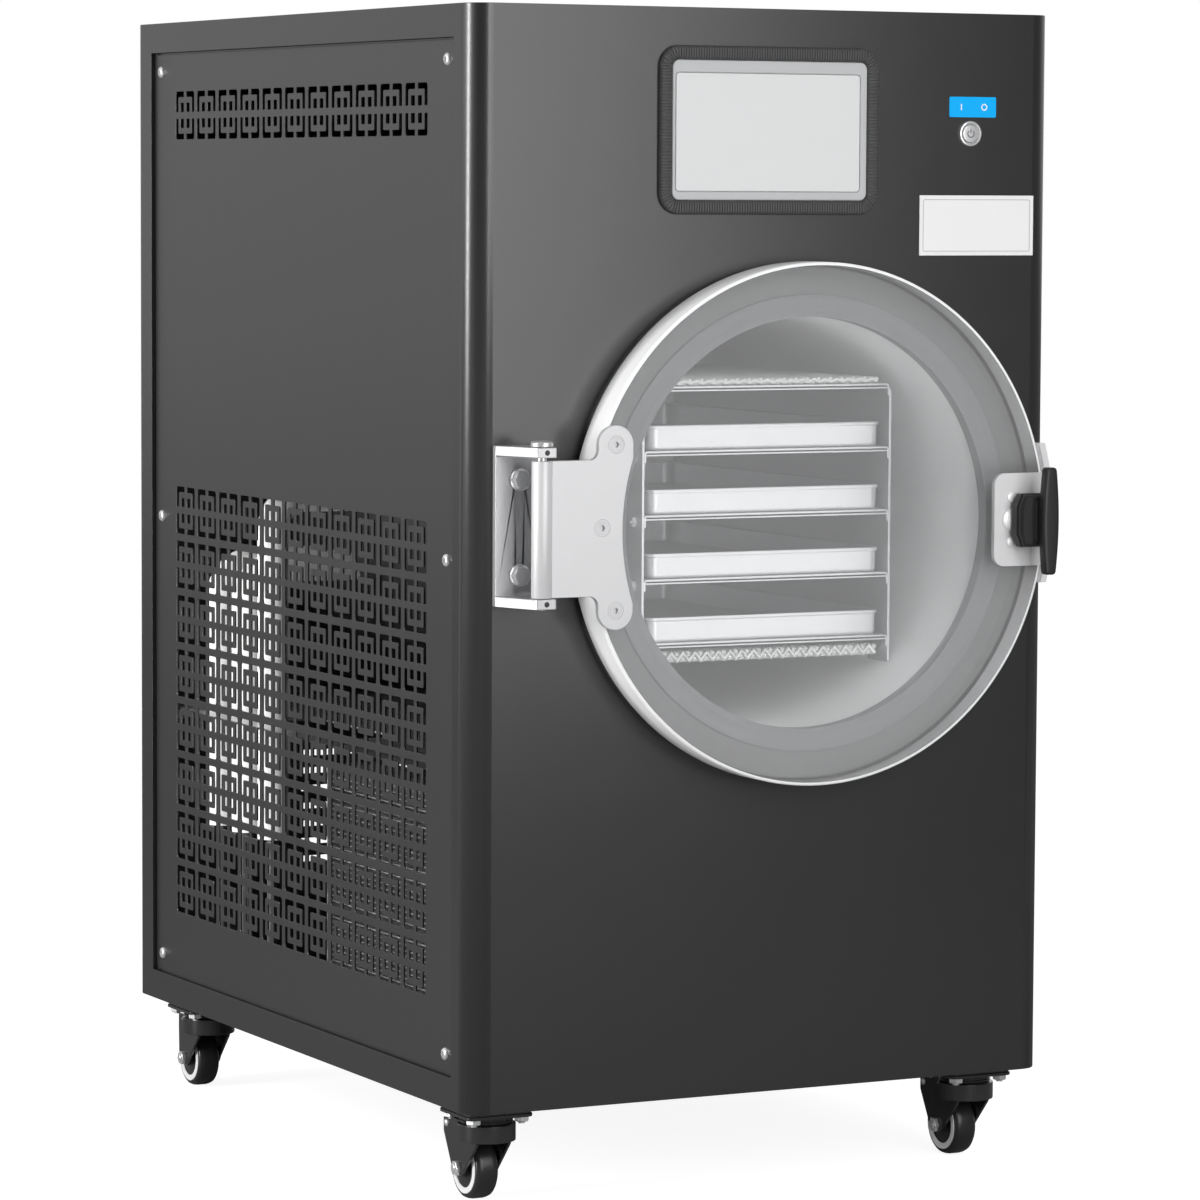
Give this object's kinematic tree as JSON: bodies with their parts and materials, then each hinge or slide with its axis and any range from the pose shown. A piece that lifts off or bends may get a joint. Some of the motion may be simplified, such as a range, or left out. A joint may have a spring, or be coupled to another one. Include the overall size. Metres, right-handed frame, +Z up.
{
  "type": "freeze dryer",
  "caption": "Cabinet freeze dryer on casters with a round clear door, tray rack, touch screen, T-handle latch and vented sides.",
  "frame": {"origin": "on the floor under the centre of the overall box", "axes": "+X to the right seen from the door, +Y to the back, +Z up"},
  "size_m": [0.488, 0.731, 0.879],
  "materials": {
    "cabinet_coat": "fine textured charcoal powder coat",
    "panel_coat": "fine textured charcoal powder coat",
    "zinc_sheet": "bare zinc-coated sheet",
    "drum_steel": "satin stainless steel",
    "gasket_rubber": "light grey silicone rubber",
    "rack_steel": "satin stainless steel",
    "tray_steel": "bright stainless steel",
    "heater_weave": "woven white glass braid",
    "trim_rubber": "black ribbed edging",
    "screen_frame": "light grey moulded frame",
    "display": "lit pale display under glass",
    "button_steel": "polished steel ring",
    "button_face": "satin steel cap",
    "blue_film": "bright blue printed film",
    "white_film": "white printed film, blank",
    "clear_acrylic": "clear cast acrylic with turned edge",
    "hinge_steel": "brushed stainless steel",
    "bracket_steel": "polished stainless steel",
    "bolt_steel": "bright steel",
    "handle_black": "matt black moulded nylon",
    "fork_black": "gloss black paint",
    "wheel_rubber": "black rubber with a pale ring",
    "coil_fins": "aluminium fins",
    "shroud_black": "black painted steel",
    "fan_plastic": "dark grey moulded plastic",
    "compressor_black": "gloss black paint",
    "pipe_foam": "white foam pipe insulation",
    "inlet_black": "black moulded plastic"
  },
  "bodies": {
    "cabinet": {"cabinet_wrap": "cabinet_coat", "top_cover": "cabinet_coat", "base_pan": "cabinet_coat", "rear_panel": "cabinet_coat", "side_panel_left": "panel_coat", "side_panel_right": "panel_coat", "drum_deck": "zinc_sheet", "drum_saddles": "zinc_sheet", "control_box": "zinc_sheet", "caster_plates": "zinc_sheet", "vacuum_drum": "drum_steel", "vacuum_port": "drum_steel", "door_gasket": "gasket_rubber", "rack_plate_left": "rack_steel", "rack_plate_right": "rack_steel", "shelf_1": "rack_steel", "shelf_2": "rack_steel", "shelf_3": "rack_steel", "shelf_4": "rack_steel", "shelf_5": "rack_steel", "tray_1": "tray_steel", "tray_2": "tray_steel", "tray_3": "tray_steel", "tray_4": "tray_steel", "heater_wraps": "heater_weave", "screen_trim": "trim_rubber", "touch_screen": "screen_frame", "display_glass": "display", "button_bezel": "button_steel", "switch_plate": "blue_film", "notice_plate": "white_film", "hinge_bracket": "bracket_steel", "hinge_pin": "bolt_steel", "hinge_bolts": "bolt_steel", "condenser_coil": "coil_fins", "fan_shroud": "shroud_black", "compressor": "compressor_black", "refrigerant_lines": "pipe_foam", "mains_inlet": "inlet_black"},
    "door": {"door_disc": "clear_acrylic", "hinge_arm": "hinge_steel", "hinge_arm_screws": "bolt_steel", "latch_bracket": "hinge_steel", "latch_screws": "bolt_steel"},
    "handle": {"t_handle": "handle_black", "latch_shaft": "bolt_steel"},
    "power_button": {"button_cap": "button_face"},
    "fan": {"fan_rotor": "fan_plastic"},
    "fork_front_left": {"caster_fork_front_left": "fork_black"},
    "wheel_front_left": {"caster_wheel_front_left": "wheel_rubber"},
    "fork_front_right": {"caster_fork_front_right": "fork_black"},
    "wheel_front_right": {"caster_wheel_front_right": "wheel_rubber"},
    "fork_rear_left": {"caster_fork_rear_left": "fork_black"},
    "wheel_rear_left": {"caster_wheel_rear_left": "wheel_rubber"},
    "fork_rear_right": {"caster_fork_rear_right": "fork_black"},
    "wheel_rear_right": {"caster_wheel_rear_right": "wheel_rubber"},
    "pedal_front_left": {"brake_pedal_front_left": "fork_black"},
    "pedal_front_right": {"brake_pedal_front_right": "fork_black"}
  },
  "joints": [
    {"name": "door_hinge", "type": "hinge", "parent": "cabinet", "child": "door", "pos_m": [-0.2036, -0.335, 0.503], "axis": [0, 0, -1], "range_deg": [0, 120]},
    {"name": "handle_turn", "type": "hinge", "parent": "door", "child": "handle", "pos_m": [0.207, -0.3485, 0.5005], "axis": [0, -1, 0], "range_deg": [0, 90]},
    {"name": "button_press", "type": "slide", "parent": "cabinet", "child": "power_button", "axis": [0, 1, 0], "range_m": [0, 0.0012], "stiffness_N_per_m": 600},
    {"name": "fan_spin", "type": "hinge", "parent": "cabinet", "child": "fan", "pos_m": [-0.1672, -0.1255, 0.1945], "axis": [1, 0, 0], "continuous": true},
    {"name": "swivel_front_left", "type": "hinge", "parent": "cabinet", "child": "fork_front_left", "pos_m": [-0.2055, -0.2505, 0.06], "axis": [0, 0, 1], "continuous": true},
    {"name": "roll_front_left", "type": "hinge", "parent": "fork_front_left", "child": "wheel_front_left", "pos_m": [-0.2055, -0.2315, 0.0235], "axis": [1, 0, 0], "continuous": true},
    {"name": "swivel_front_right", "type": "hinge", "parent": "cabinet", "child": "fork_front_right", "pos_m": [0.2055, -0.2505, 0.06], "axis": [0, 0, 1], "continuous": true},
    {"name": "roll_front_right", "type": "hinge", "parent": "fork_front_right", "child": "wheel_front_right", "pos_m": [0.2055, -0.2315, 0.0235], "axis": [1, 0, 0], "continuous": true},
    {"name": "swivel_rear_left", "type": "hinge", "parent": "cabinet", "child": "fork_rear_left", "pos_m": [-0.2055, 0.2815, 0.06], "axis": [0, 0, 1], "continuous": true},
    {"name": "roll_rear_left", "type": "hinge", "parent": "fork_rear_left", "child": "wheel_rear_left", "pos_m": [-0.2055, 0.3005, 0.0235], "axis": [1, 0, 0], "continuous": true},
    {"name": "swivel_rear_right", "type": "hinge", "parent": "cabinet", "child": "fork_rear_right", "pos_m": [0.2055, 0.2815, 0.06], "axis": [0, 0, 1], "continuous": true},
    {"name": "roll_rear_right", "type": "hinge", "parent": "fork_rear_right", "child": "wheel_rear_right", "pos_m": [0.2055, 0.3005, 0.0235], "axis": [1, 0, 0], "continuous": true},
    {"name": "brake_front_left", "type": "hinge", "parent": "fork_front_left", "child": "pedal_front_left", "pos_m": [-0.2055, -0.2125, 0.0545], "axis": [-1, 0, 0], "range_deg": [0, 13]},
    {"name": "brake_front_right", "type": "hinge", "parent": "fork_front_right", "child": "pedal_front_right", "pos_m": [0.2055, -0.2125, 0.0545], "axis": [-1, 0, 0], "range_deg": [0, 13]}
  ]
}
